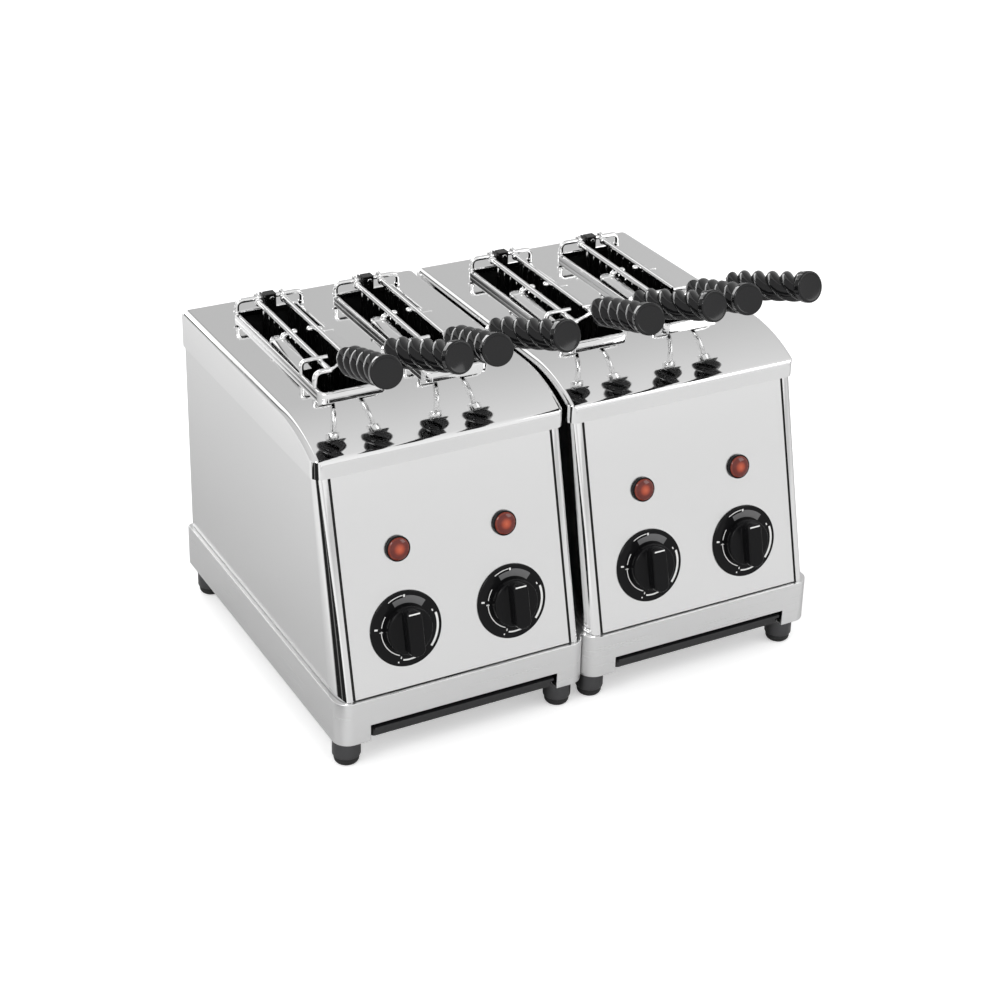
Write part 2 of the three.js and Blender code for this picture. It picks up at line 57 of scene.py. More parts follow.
camera_data.dof.use_dof = False
camera = bpy.data.objects.new("camera", camera_data)
bpy.context.collection.objects.link(camera)
turn = Matrix((camera_right, camera_up, -camera_forward)).transposed()
camera.matrix_world = Matrix.Translation(camera_place) @ turn.to_4x4()
bpy.context.scene.camera = camera

# The sky of the studio. It is brightest in front, and has a bright strip between two dark edges
# behind, which draws the lines on the folded edges; low down the strip is brighter, for the handles.
sky_front = 2.04
sky_back = 1.08
sky_base = 0.5
strip_edge = 0.04
strip_glow = 4
strip_top = (0.32, 0.38)


def added(tree, kind, links=(), values=(), **settings):
    """Adds a shader node, with its settings, the links to its inputs and their values."""
    made = tree.nodes.new(kind)
    for key, value in settings.items():
        setattr(made, key, value)
    for key, value in dict(values).items():
        made.inputs[key].default_value = value
    for key, output in dict(links).items():
        tree.links.new(output, made.inputs[key])
    return made


def ranged(tree, value, before, after):
    """Maps a value from one range to another."""
    values = {"From Min": before[0], "From Max": before[1], "To Min": after[0], "To Max": after[1]}
    return added(tree, "ShaderNodeMapRange", {"Value": value}, values).outputs[0]


def graded(tree, value, *stops):
    """Turns a value into a grey or a colour, through a row of places and shades."""
    made = added(tree, "ShaderNodeValToRGB", {"Fac": value})
    ramp = made.color_ramp.elements
    ramp[0].position, ramp[1].position = stops[0][0], stops[-1][0]
    for place, shade in stops[1:-1]:
        ramp.new(place)
    for stop, (place, shade) in zip(ramp, stops):
        stop.color = (*(shade if isinstance(shade, tuple) else (shade,) * 3), 1)
    return made.outputs["Color"]


def blended(tree, share, first, second):
    """Mixes two shaders, by a share of the second."""
    return added(tree, "ShaderNodeMixShader", {"Fac": share, 1: first.outputs[0], 2: second.outputs[0]})


bpy.context.scene.view_settings.view_transform = "Standard"
sky = bpy.data.worlds.new("studio_sky")
bpy.context.scene.world = sky
sky.use_nodes = True
sky_tree = sky.node_tree
sky_tree.nodes.clear()
sky_place = added(sky_tree, "ShaderNodeTexCoord").outputs["Generated"]
sky_parts = added(sky_tree, "ShaderNodeSeparateXYZ", {0: sky_place})
sky_round = added(sky_tree, "ShaderNodeTexGradient", {"Vector": sky_place}, gradient_type="RADIAL")
sky_turn = sky_round.outputs["Fac"]
sky_grey = graded(
    sky_tree,
    sky_turn,
    (0.698, sky_base),
    (0.702, strip_edge),
    (0.711, strip_edge),
    (0.714, 1),
    (0.812, 1),
    (0.815, strip_edge),
    (0.83, strip_edge),
    (0.836, sky_base),
)
strip_across = graded(sky_tree, sky_turn, (0.712, 0), (0.714, 1), (0.82, 1), (0.822, 0))
strip_low = ranged(sky_tree, sky_parts.outputs["Z"], strip_top, (1, 0))
strip = added(sky_tree, "ShaderNodeMath", {0: strip_across, 1: strip_low}, operation="MULTIPLY")
sky_shade = added(
    sky_tree,
    "ShaderNodeMix",
    {"Factor": strip.outputs[0], "A": sky_grey},
    {"B": (strip_glow, strip_glow, strip_glow, 1)},
    data_type="RGBA",
)
sky_strength = ranged(sky_tree, sky_parts.outputs["Y"], (-1, 1), (sky_front, sky_back))
sky_tone = sky_shade.outputs["Result"]
sky_lit = added(sky_tree, "ShaderNodeBackground", {"Color": sky_tone, "Strength": sky_strength})
sky_seen = added(sky_tree, "ShaderNodeBackground", (), {"Color": (1, 1, 1, 1), "Strength": 1})
sky_rays = added(sky_tree, "ShaderNodeLightPath").outputs["Is Camera Ray"]
sky_mix = blended(sky_tree, sky_rays, sky_lit, sky_seen)
added(sky_tree, "ShaderNodeOutputWorld", {"Surface": sky_mix.outputs[0]})

# The floor and the soft boxes. The floor is white. Steel mirrors it, so for the metal alone it has
# painted reflections: dark wedges round the left corner post, which paint the stripes on the posts, and
# painted shade that greys its sides.
paint_white = 0.86
paint_lift = 0.42
# How dark the painted reflection wedges look to the steel.
painted_reflection_dark = 0.015
post_place = (0.212, 0.14, 0)
soft_boxes = (
    ("key_light", (-1.3, -1.1, 1.7), (0.0, -0.05, 0.12), 0.8, 14),
    ("fill_light", (1.5, -1.5, 1.2), (0.1, -0.1, 0.15), 1.0, 7),
)


def material(name, values):
    """A new material with some values of its shader's inputs; gives its nodes and its shader too."""
    made = bpy.data.materials.new(name)
    made.use_nodes = True
    skin = made.node_tree.nodes["Principled BSDF"]
    for key, value in values.items():
        skin.inputs[key].default_value = value
    return made, made.node_tree, skin


bpy.ops.object.select_all(action="DESELECT")
bpy.ops.mesh.primitive_plane_add(size=14, location=(0, 0, 0))
floor = bpy.context.object
floor.name = "floor"
floor_paint, paint_tree, paint_skin = material(
    "floor_paint",
    {"Base Color": (paint_white, paint_white, paint_white, 1), "Roughness": 0.9, "Specular IOR Level": 0.1},
)
paint_place = added(paint_tree, "ShaderNodeTexCoord").outputs["Object"]
paint_parts = added(paint_tree, "ShaderNodeSeparateXYZ", {0: paint_place})
# Painted shade, seen by the steel alone: the floor greys beside and in front of the cabinets.
side_painted_shade = ranged(paint_tree, paint_parts.outputs["X"], (-0.46, -0.24), (paint_white, 0.56))
front_painted_shade = ranged(paint_tree, paint_parts.outputs["Y"], (-0.18, -0.12), (0.72, 0))
painted_shade_grey = added(paint_tree, "ShaderNodeMath", {0: front_painted_shade, 1: side_painted_shade}, operation="MAXIMUM")
post_shift = added(paint_tree, "ShaderNodeMapping", {"Vector": paint_place}, {"Location": post_place})
from_post = post_shift.outputs[0]
post_turn = added(paint_tree, "ShaderNodeTexGradient", {"Vector": from_post}, gradient_type="RADIAL")
post_away = added(paint_tree, "ShaderNodeVectorMath", {0: from_post}, operation="LENGTH")
# Painted reflection: dark wedges on the floor, seen only by the steel, paint the stripes on the corner post.
painted_reflection_wedges = graded(
    paint_tree,
    post_turn.outputs["Fac"],
    (0.0, 1),
    (0.01, 1),
    (0.015, 0.8),
    (0.03, 0.8),
    (0.036, 1),
    (0.14, 1),
    (0.155, 0),
    (0.92, 0),
    (0.94, 1),
    (1.0, 1),
)
ring = graded(paint_tree, post_away.outputs["Value"], (0.1, 0), (0.12, 1), (0.85, 1), (0.95, 0))
painted_reflection_share = added(paint_tree, "ShaderNodeMath", {0: painted_reflection_wedges, 1: ring}, operation="MULTIPLY")
# The floor as the steel sees it, with its painted shade and painted reflections.
painted_reflection_grey = added(
    paint_tree,
    "ShaderNodeMix",
    {"Factor": painted_reflection_share.outputs[0], "A": painted_shade_grey.outputs[0]},
    {"B": (painted_reflection_dark, painted_reflection_dark, painted_reflection_dark, 1)},
    data_type="RGBA",
)
painted_reflection_floor = added(paint_tree, "ShaderNodeBsdfDiffuse", {"Color": painted_reflection_grey.outputs["Result"]})
paint_glow = added(paint_tree, "ShaderNodeEmission", (), {"Color": (1, 1, 1, 1), "Strength": paint_lift})
in_view = added(paint_tree, "ShaderNodeAddShader", {0: paint_skin.outputs[0], 1: paint_glow.outputs[0]})
rays = added(paint_tree, "ShaderNodeLightPath").outputs
paint_rest = blended(paint_tree, rays["Is Glossy Ray"], paint_skin, painted_reflection_floor)
paint_mix = blended(paint_tree, rays["Is Camera Ray"], paint_rest, in_view)
paint_tree.links.new(paint_mix.outputs[0], paint_tree.nodes["Material Output"].inputs["Surface"])
floor.data.materials.append(floor_paint)
for light_name, place, aim, width, power in soft_boxes:
    light_data = bpy.data.lights.new(light_name, "AREA")
    light_data.size = width
    light_data.energy = power
    light = bpy.data.objects.new(light_name, light_data)
    bpy.context.collection.objects.link(light)
    light.location = place
    light.rotation_euler = (Vector(aim) - Vector(place)).to_track_quat("-Z", "Y").to_euler()

# Base bands. Each cabinet stands in a deep band of folded stainless sheet, brushed along its length.
# Its upright corners are rounded, its top turns in as a lip under the wall, and a floor is welded
# inside it. The front is cut away over the crumb tray.
mm = 0.001
cabinet_sides = {"left": -108 * mm, "right": 108 * mm}
seam = 0.3 * mm
band_corner = 13 * mm
band_rear = 3 * mm
band_sheet = 1.5 * mm
band_lip = 9 * mm
floor_top = 49.5 * mm
runner_lip = 33 * mm
mouth_half = 81 * mm
mouth_top = 40 * mm
crumb_x = 44 * mm
crumb_half = 21 * mm
crumb_front = 120 * mm
crumb_back = 270 * mm
noise_span = (0.3, 0.7)


def box_ends(node):
    """The low and the high corner of a solid's box."""
    return [Vector(corner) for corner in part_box(node)]


def picked(*pieces):
    """Selects these pieces and nothing else; the first one is active."""
    bpy.ops.object.select_all(action="DESELECT")
    for piece in pieces:
        piece.select_set(True)
    bpy.context.view_layer.objects.active = pieces[0]


def upright_block(name, low, high, corner=0.0, segments=8, rear=None):
    """A block between two corners, its upright edges rolled to a radius; the rear ones may have their own."""
    low, high = Vector(low), Vector(high)
    bpy.ops.object.select_all(action="DESELECT")
    bpy.ops.mesh.primitive_cube_add(size=1, location=(low + high) / 2)
    block = bpy.context.object
    block.name = name
    block.scale = high - low
    bpy.ops.object.transform_apply(location=True, rotation=True, scale=True)
    middle_y = (low.y + high.y) / 2
    for radius, behind in ((corner, False), (corner if rear is None else rear, True)):
        if not radius:
            continue
        bpy.context.tool_settings.mesh_select_mode = (False, True, False)
        bpy.ops.object.mode_set(mode="EDIT")
        bpy.ops.mesh.select_all(action="DESELECT")
        bpy.ops.object.mode_set(mode="OBJECT")
        for edge in block.data.edges:
            start, end = [block.data.vertices[i].co for i in edge.vertices]
            edge.select = abs(start.z - end.z) > (high.z - low.z) / 2 and (start.y > middle_y) == behind
        bpy.ops.object.mode_set(mode="EDIT")
        bpy.ops.mesh.bevel(offset=radius, segments=segments, affect="EDGES")
        bpy.ops.object.mode_set(mode="OBJECT")
    return block


def machined(piece, cutter, operation="DIFFERENCE"):
    """Cuts one shape with another, as a press tool would, and takes the tool away."""
    picked(piece)
    cut = piece.modifiers.new("cut", "BOOLEAN")
    cut.operation = operation
    cut.solver = "EXACT"
    cut.object = cutter
    bpy.ops.object.modifier_apply(modifier=cut.name)
    bpy.data.objects.remove(cutter)


def softened(piece, width, segments=2, angle=35):
    """Breaks the sharp edges and smooths what is round."""
    picked(piece)
    if width:
        edge = piece.modifiers.new("edge", "BEVEL")
        edge.width = width
        edge.segments = segments
        edge.limit_method = "ANGLE"
        edge.angle_limit = math.radians(angle)
        bpy.ops.object.modifier_apply(modifier=edge.name)
    bpy.ops.object.shade_smooth_by_angle(angle=math.radians(angle))
    even = piece.modifiers.new("even", "WEIGHTED_NORMAL")
    even.keep_sharp = True
    bpy.ops.object.modifier_apply(modifier=even.name)


def steel(name, shade, roughness, grain, stretch, waviness=0.0):
    """Stainless sheet: fine lines that run one way, and a slow unevenness under them."""
    finish, tree, skin = material(name, {"Metallic": 1, "IOR": 1.45})
    place = added(tree, "ShaderNodeTexCoord").outputs["Object"]
    lines = added(tree, "ShaderNodeMapping", {"Vector": place}, {"Scale": stretch}).outputs[0]
    noise = added(tree, "ShaderNodeTexNoise", {"Vector": lines}, {"Scale": 1, "Detail": 3}).outputs["Fac"]
    slow = added(tree, "ShaderNodeTexNoise", {"Vector": place}, {"Scale": 9, "Detail": 2}).outputs["Fac"]
    rough = ranged(tree, noise, noise_span, (roughness * (1 - grain), roughness * (1 + grain)))
    tint = ranged(tree, slow, noise_span, (shade * (1 - 0.05 * grain), shade * (1 + 0.05 * grain)))
    sag = added(tree, "ShaderNodeBump", {"Height": slow}, {"Strength": waviness, "Distance": 0.002})
    fine = {"Strength": 0.12 * grain, "Distance": 0.0002}
    bump = added(tree, "ShaderNodeBump", {"Height": noise, "Normal": sag.outputs[0]}, fine)
    tree.links.new(rough, skin.inputs["Roughness"])
    tree.links.new(tint, skin.inputs["Base Color"])
    tree.links.new(bump.outputs[0], skin.inputs["Normal"])
    return finish


def fitted(piece, finish, body, slot, *nodes):
    """Gives a finished piece its finish, its body and the solid it stands for."""
    piece.data.materials.clear()
    piece.data.materials.append(finish)
    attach(piece, body)
    if nodes:
        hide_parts(*nodes)


satin_steel = steel("satin_steel", 0.8, 0.3, 0.1, (9, 9, 1400))
for side, middle_x in cabinet_sides.items():
    low, high = box_ends(side + "_base_band")
    band = upright_block(side + "_band", low, high, band_corner, 10, band_rear)
    well = upright_block(
        "well",
        (low.x + band_lip, low.y + band_lip, floor_top),
        (high.x - band_lip, high.y - band_lip, high.z + band_lip),
        4 * mm,
    )
    machined(band, well)
    hollow = upright_block(
        "hollow",
        (low.x + band_sheet, low.y + band_sheet, low.z + band_sheet),
        (high.x - band_sheet, high.y - band_sheet, floor_top - band_sheet),
        band_corner - band_sheet,
        8,
        band_rear - band_sheet,
    )
    machined(band, hollow)
    under = upright_block(
        "under",
        (low.x + runner_lip, low.y - band_lip, low.z - band_lip),
        (high.x - runner_lip, high.y - runner_lip, low.z + band_sheet + seam),
    )
    machined(band, under)
    mouth = upright_block(
        "mouth",
        (middle_x - mouth_half, low.y - band_lip, low.z - band_lip),
        (middle_x + mouth_half, low.y + band_lip, mouth_top),
    )
    machined(band, mouth)
    for window_x in (-crumb_x, crumb_x):
        window = upright_block(
            "window",
            (middle_x + window_x - crumb_half, low.y + crumb_front, low.z + band_sheet),
            (middle_x + window_x + crumb_half, low.y + crumb_back, floor_top + band_sheet),
        )
        machined(band, window)
    softened(band, 0.7 * mm, 3)
    fitted(band, satin_steel, "cabinets", "brushed_steel", side + "_base_band")

# Crumb trays. A shallow pan of black enamelled sheet slides under the floor of each cabinet on the
# band's folded lips; its front edge is turned over as a pull.
tray_sheet = 1.2 * mm
pull_height = 2.4 * mm


def moulded(name, colour, gloss, speck, bump=0.1, span=noise_span, specular=0.5, metallic=0):
    """Moulded plastic, rubber or paint: one colour, with a fine unevenness in its gloss."""
    values = {"Base Color": (*colour, 1), "Specular IOR Level": specular, "Metallic": metallic}
    finish, tree, skin = material(name, values)
    place = added(tree, "ShaderNodeTexCoord").outputs["Object"]
    noise = added(tree, "ShaderNodeTexNoise", {"Vector": place}, {"Scale": speck}).outputs["Fac"]
    tree.links.new(ranged(tree, noise, span, gloss), skin.inputs["Roughness"])
    if bump:
        dents = added(tree, "ShaderNodeBump", {"Height": noise}, {"Strength": bump, "Distance": 0.0002})
        tree.links.new(dents.outputs[0], skin.inputs["Normal"])
    return finish


enamel = moulded("black_enamel", (0.012, 0.012, 0.013), (0.22, 0.42), 420, 0.15, (0, 1))
for side in cabinet_sides:
    low, high = box_ends(side + "_crumb_tray")
    pan_front = low.y + 3 * mm
    tray = upright_block(side + "_tray", (low.x, pan_front, low.z), high, 3 * mm, 4)
    inside = upright_block(
        "inside",
        (low.x + tray_sheet, pan_front + tray_sheet, low.z + tray_sheet),
        (high.x - tray_sheet, high.y - tray_sheet, high.z + tray_sheet),
        2 * mm,
        4,
    )
    machined(tray, inside)
    pull_back = pan_front + tray_sheet / 2
    pull = upright_block("pull", (low.x + mm, low.y, high.z - pull_height), (high.x - mm, pull_back, high.z))
    machined(tray, pull, "UNION")
    softened(tray, 0.5 * mm, 3)
    fitted(tray, enamel, side + "_tray", "black_enamel", side + "_crumb_tray")

# Feet. A dark turned stem under each corner of a cabinet carries the band, with a black rubber pad
# rounded at the floor.
foot_radius = 11.2 * mm
pad_radius = 10 * mm
pad_height = 7 * mm
stem_grey = moulded("stem_grey", (0.1, 0.1, 0.103), (0.28, 0.45), 260, 0, (0, 1), metallic=0.85)
pad_rubber = moulded("pad_rubber", (0.012, 0.012, 0.012), (0.4, 0.7), 600, 0, (0, 1))


def turned(name, profile, segments=48):
    """Turns a profile of radii and heights round the upright axis, as on a lathe."""
    bpy.ops.object.select_all(action="DESELECT")
    bpy.ops.mesh.primitive_plane_add(size=mm, location=(0, 0, 0))
    spun = bpy.context.object
    spun.name = name
    bpy.context.tool_settings.mesh_select_mode = (True, False, False)
    bpy.ops.object.mode_set(mode="EDIT")
    bpy.ops.mesh.select_all(action="SELECT")
    bpy.ops.mesh.merge(type="CENTER")
    bpy.ops.transform.translate(value=(profile[0][0], 0, profile[0][1]))
    for before, after in zip(profile, profile[1:]):
        step = (after[0] - before[0], 0, after[1] - before[1])
        bpy.ops.mesh.extrude_region_move(TRANSFORM_OT_translate={"value": step})
    bpy.ops.mesh.select_all(action="SELECT")
    bpy.ops.mesh.spin(
        steps=segments, angle=2 * math.pi, center=(0, 0, 0), axis=(0, 0, 1), use_auto_merge=True
    )
    bpy.ops.mesh.select_all(action="SELECT")
    bpy.ops.mesh.remove_doubles(threshold=0.005 * mm)
    bpy.ops.mesh.normals_make_consistent(inside=False)
    bpy.ops.object.mode_set(mode="OBJECT")
    return spun


def rounded(radius, centre_r, centre_h, start, end, steps=5):
    """Points of a rounding, for a turned profile; the angles are in degrees."""
    turns = [math.radians(start + (end - start) * i / steps) for i in range(steps + 1)]
    return [(centre_r + radius * math.cos(a), centre_h + radius * math.sin(a)) for a in turns]


for side in cabinet_sides:
    for row in ("front", "rear"):
        for hand in ("left", "right"):
            node = "_".join([side, "foot", row, hand])
            low, high = box_ends(node)
            at_foot = Vector(((low.x + high.x) / 2, (low.y + high.y) / 2, 0))
            top = high.z
            stem_profile = [(0, pad_height)] + rounded(mm, foot_radius - mm, pad_height + mm, -90, 0, 3)
            stem_profile += rounded(0.6 * mm, foot_radius - 0.6 * mm, top - 0.6 * mm, 0, 90, 3) + [(0, top)]
            stem = turned(node + "_stem", stem_profile)
            pad_profile = [(0, 0)] + rounded(4 * mm, pad_radius - 4 * mm, 4 * mm, -90, 0, 6)
            pad_profile += [(pad_radius, pad_height), (0, pad_height)]
            pad = turned(node + "_pad", pad_profile)
            for turned_piece, finish in ((stem, stem_grey), (pad, pad_rubber)):
                turned_piece.data.transform(Matrix.Translation(at_foot))
                softened(turned_piece, 0, 2, 40)
                fitted(turned_piece, finish, "cabinets", "rubber", node)

# Wrap-round walls. One sheet of brushed stainless makes both sides and the back of a cabinet. Its
# front corners are rolled, deepest at the foot, and end in a stepped seat for the front panel.
sheet = 1.2 * mm
band_top = 63 * mm
flange_foot = 233 * mm
cover_front = front_y + 44 * mm
cover_back = front_y + 316 * mm
panel_foot = front_y + 2.6 * mm
panel_sheet = 1.5 * mm
panel_half = 92.5 * mm
wall_half = 104.5 * mm
wall_roll = 7 * mm
wall_heel = 4.1 * mm
wall_tuck = 12 * mm
post_depth = 23 * mm
post_taper = 14 * mm
gland_z = 88 * mm
lean_share = (cover_front + sheet + seam - panel_foot) / (flange_foot - band_top)


def drawn(name, *chains):
    """Draws lines from point to point, each by extruding its last point."""
    bpy.ops.object.select_all(action="DESELECT")
    bpy.context.tool_settings.mesh_select_mode = (True, False, False)
    line = None
    for chain in chains:
        bpy.ops.mesh.primitive_plane_add(size=mm, location=(0, 0, 0))
        if line is None:
            line = bpy.context.object
            line.name = name
            bpy.ops.object.mode_set(mode="EDIT")
            bpy.ops.mesh.select_all(action="SELECT")
        bpy.ops.mesh.merge(type="CENTER")
        bpy.ops.transform.translate(value=chain[0])
        for before, after in zip(chain, chain[1:]):
            step = Vector(after) - Vector(before)
            bpy.ops.mesh.extrude_region_move(TRANSFORM_OT_translate={"value": step})
    bpy.ops.mesh.select_all(action="SELECT")
    return line


def bow(centre, across, along, start, end, steps):
    """Points of an elliptical arc; the angles are in degrees."""
    turns = [math.radians(start + (end - start) * i / steps) for i in range(steps + 1)]
    return [(centre[0] + across * math.cos(a), centre[1] + along * math.sin(a)) for a in turns]


def corner_depth(z):
    """How deep the wall's rolled front corners are at one height."""
    return post_depth - post_taper * (z - band_top) / (flange_foot - band_top)


def wall_line(middle_x, z):
    """The wall's outer face in plan at one height, from one seat of the panel to the other."""
    face = panel_foot + (z - band_top) * lean_share
    seat = face + panel_sheet + seam
    depth = corner_depth(z)
    back = cover_back - sheet - seam
    inner = panel_half + 2 * mm
    half = [(-inner + 10 * mm, seat), (-inner, seat), (-inner, face)]
    half += bow((wall_roll - wall_half, face + depth), wall_roll, depth, -90, -180, 10)
    half += bow((wall_heel - wall_half, back - wall_heel), wall_heel, wall_heel, 180, 90, 6)
    outline = half + [(-x, y) for x, y in reversed(half)]
    return [(middle_x + x, y, z) for x, y in outline]


post_steel = steel("post_steel", 0.84, 0.06, 0.3, (30, 30, 300), 0.01)
# Painted shade: a near-black strip on the wall's seat beside the panel, where the gap into the cabinet is
# dark.
gap_painted_shade = material("gap_painted_shade", {"Base Color": (0.01, 0.01, 0.01, 1), "Roughness": 0.7})[0]
wall_steel = steel("wall_steel", 0.8, 0.17, 0.07, (8, 8, 1300), 0.01)
for side, middle_x in cabinet_sides.items():
    foot_line, top_line = [wall_line(middle_x, z) for z in (band_top + seam, flange_foot + wall_tuck)]
    wall = drawn(side + "_wall", foot_line, top_line)
    bpy.ops.mesh.bridge_edge_loops()
    bpy.ops.mesh.select_all(action="SELECT")
    bpy.ops.mesh.normals_make_consistent(inside=False)
    bpy.ops.object.mode_set(mode="OBJECT")
    outermost = min(wall.data.polygons, key=lambda face: face.center.x)
    if outermost.normal.x > 0:
        wall.data.flip_normals()
    fold = wall.modifiers.new("sheet", "SOLIDIFY")
    fold.thickness = sheet
    fold.offset = -1
    fold.use_even_offset = True
    bpy.ops.object.modifier_apply(modifier=fold.name)
    gland_place = (middle_x, cover_back, gland_z)
    bpy.ops.mesh.primitive_cylinder_add(
        vertices=32, radius=6.5 * mm, depth=12 * mm, location=gland_place, rotation=(math.pi / 2, 0, 0)
    )
    machined(wall, bpy.context.object)
    softened(wall, 0.35 * mm, 2)
    fitted(wall, wall_steel, "cabinets", "brushed_steel", side + "_wrap_wall")
    wall.data.materials.append(post_steel)
    wall.data.materials.append(gap_painted_shade)
    for face in wall.data.polygons:
        across = abs(face.center.x - middle_x)
        behind = face.center.y - panel_foot - (face.center.z - band_top) * lean_share
        # The seat's strip beside the panel gets the painted shade; the rolled corners get the polished steel.
        if across < panel_half + 2.1 * mm and 0.3 * mm < behind < 4 * mm:
            face.material_index = 2
        elif across > panel_half + 1.8 * mm and behind < corner_depth(face.center.z):
            face.material_index = 1

# Front panels. A flat brushed plate leans back on the wall's seats, with a hole for each timer
# spindle and each pilot lamp; its cut edge is bright.
lean_angle = math.atan(lean_share)
panel_length = (flange_foot - band_top + 7 * mm) / math.cos(lean_angle)
control_x = 45.4 * mm
dial_rise = 46.9 * mm
lamp_rise = 110.1 * mm
spindle_hole = 3.6 * mm
lamp_hole = 7.1 * mm


def on_panel(piece, middle_x, across=0.0, rise=0.0):
    """Moves a piece made flat at the origin to its place on the leaning front."""
    foot = Vector((middle_x, panel_foot, band_top + seam))
    stand = Matrix.Rotation(math.pi / 2 - lean_angle, 4, "X")
    piece.data.transform(Matrix.Translation(foot) @ stand @ Matrix.Translation((across, rise, 0)))


panel_steel = steel("panel_steel", 0.82, 0.25, 0.07, (8, 8, 1300), 0.01)
for side, middle_x in cabinet_sides.items():
    panel_low = (-panel_half, panel_sheet / 2, -panel_sheet)
    panel = upright_block(side + "_panel", panel_low, (panel_half, panel_length, 0))
    for across in (-control_x, control_x):
        for rise, radius in ((dial_rise, spindle_hole), (lamp_rise, lamp_hole)):
            hole = (across, rise, 0)
            bpy.ops.mesh.primitive_cylinder_add(vertices=32, radius=radius, depth=8 * mm, location=hole)
            machined(panel, bpy.context.object)
    softened(panel, 0.35 * mm, 2)
    on_panel(panel, middle_x)
    fitted(panel, panel_steel, "cabinets", "brushed_steel", side + "_front_panel")

# Top covers. Each is one sheet of mirror-polished stainless, drawn over the front as a rolled nose
# and folded down as a skirt; every slot has a bright rounded rim welded round it.
plate_top = 265 * mm
rim_top = plate_top + 5 * mm
cover_half = 106 * mm
cover_corner = 8.5 * mm
cover_edge = 5 * mm
nose_length = 65 * mm
nose_slope = math.radians(30)
nose_roll = 6 * mm
slot_x = 44 * mm
slot_half = 26.5 * mm
slot_front = front_y + 108 * mm
slot_back = front_y + 281 * mm
slot_corner = 5 * mm
rim_wall = 2.5 * mm
rim_inward = 1.3 * mm
overrun = 9 * mm


def cover_block(middle_x, inset, foot):
    """A block with the cover's side outline, its folded edges rounded, shrunk by an inset."""
    sine, cosine = math.sin(nose_slope), math.cos(nose_slope)
    front, back, top = cover_front + inset, cover_back - inset, plate_top - inset
    roll = max(nose_roll - inset, sheet)
    edge = max(cover_edge - inset, sheet)
    length = nose_length - inset
    sweep = (length - roll * (1 - sine)) / sine
    shoulder = top - sweep * (1 - cosine) - roll * cosine
    slope = math.degrees(nose_slope)
    heel = edge + mm
    outline = [(back, foot)] + bow((back - heel, top - heel), heel, heel, 0, 90, 6)
    outline += bow((front + length, top - sweep), sweep, sweep, 90, 90 + slope, 16)
    outline += bow((front + roll, shoulder), roll, roll, 90 + slope, 180, 8)[1:] + [(front, foot)]
    half = cover_half - inset
    block = drawn("cover", [(middle_x - half, y, z) for y, z in outline])
    bpy.ops.mesh.edge_face_add()
    bpy.ops.mesh.extrude_region_move(TRANSFORM_OT_translate={"value": (2 * half, 0, 0)})
    bpy.ops.mesh.select_all(action="SELECT")
    bpy.ops.mesh.normals_make_consistent(inside=False)
    bpy.ops.mesh.select_all(action="DESELECT")
    bpy.ops.object.mode_set(mode="OBJECT")
    bpy.context.tool_settings.mesh_select_mode = (False, True, False)
    for fold in block.data.edges:
        start, end = [block.data.vertices[i].co for i in fold.vertices]
        fold.select = abs(start.x - end.x) < half and max(start.z, end.z) > foot + mm
    bpy.ops.object.mode_set(mode="EDIT")
    bpy.ops.mesh.bevel(offset=edge, segments=5, affect="EDGES")
    bpy.ops.object.mode_set(mode="OBJECT")
    prism = upright_block(
        "prism",
        (middle_x - half, front, foot),
        (middle_x + half, back, top + overrun),
        cover_corner - inset,
        10,
        edge,
    )
    machined(block, prism, "INTERSECT")
    return block


def slot_block(x, margin, low, high):
    """A block as large as a slot with a margin."""
    return upright_block(
        "slot",
        (x - slot_half - margin, slot_front - margin, low),
        (x + slot_half + margin, slot_back + margin, high),
        slot_corner + margin,
        8,
    )


mirror_steel = steel("mirror_steel", 0.86, 0.055, 0.3, (60, 60, 60), 0.05)
for side, middle_x in cabinet_sides.items():
    cover = cover_block(middle_x, 0, flange_foot)
    machined(cover, cover_block(middle_x, sheet, flange_foot - 3 * mm))
    for x in (middle_x - slot_x, middle_x + slot_x):
        machined(cover, slot_block(x, rim_wall / 2, flange_foot, rim_top))
    softened(cover, 0.35 * mm, 2, 50)
    for x in (middle_x - slot_x, middle_x + slot_x):
        rim = slot_block(x, rim_wall, plate_top - sheet, rim_top)
        machined(rim, slot_block(x, -rim_inward, flange_foot, rim_top + overrun))
        softened(rim, 1.6 * mm, 6)
        machined(cover, rim, "UNION")
    softened(cover, 0, 2, 40)
    cover.name = side + "_cover"
    fitted(cover, mirror_steel, "cabinets", "polished_steel", side + "_top_cover")

# Timers and heater cages, inside the cabinets. They keep the frame's own solids: plated boxes behind
# the panel, and sheet cages round each slot made nearly black, painted shade for the slots' dark inside.
case_steel = steel("case_steel", 0.34, 0.42, 0.3, (90, 90, 90))
# Painted shade: the heater cages are made nearly black so that the slots look dark inside.
cage_painted_shade = steel("cage_painted_shade", 0.035, 0.5, 0.3, (40, 40, 40))
slots = {"1": ("left", -1), "2": ("left", 1), "3": ("right", -1), "4": ("right", 1)}
for number in slots:
    for node, finish in (("timer_" + number, case_steel), ("heater_cage_" + number, cage_painted_shade)):
        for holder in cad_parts[node].material_slots:
            holder.material = finish

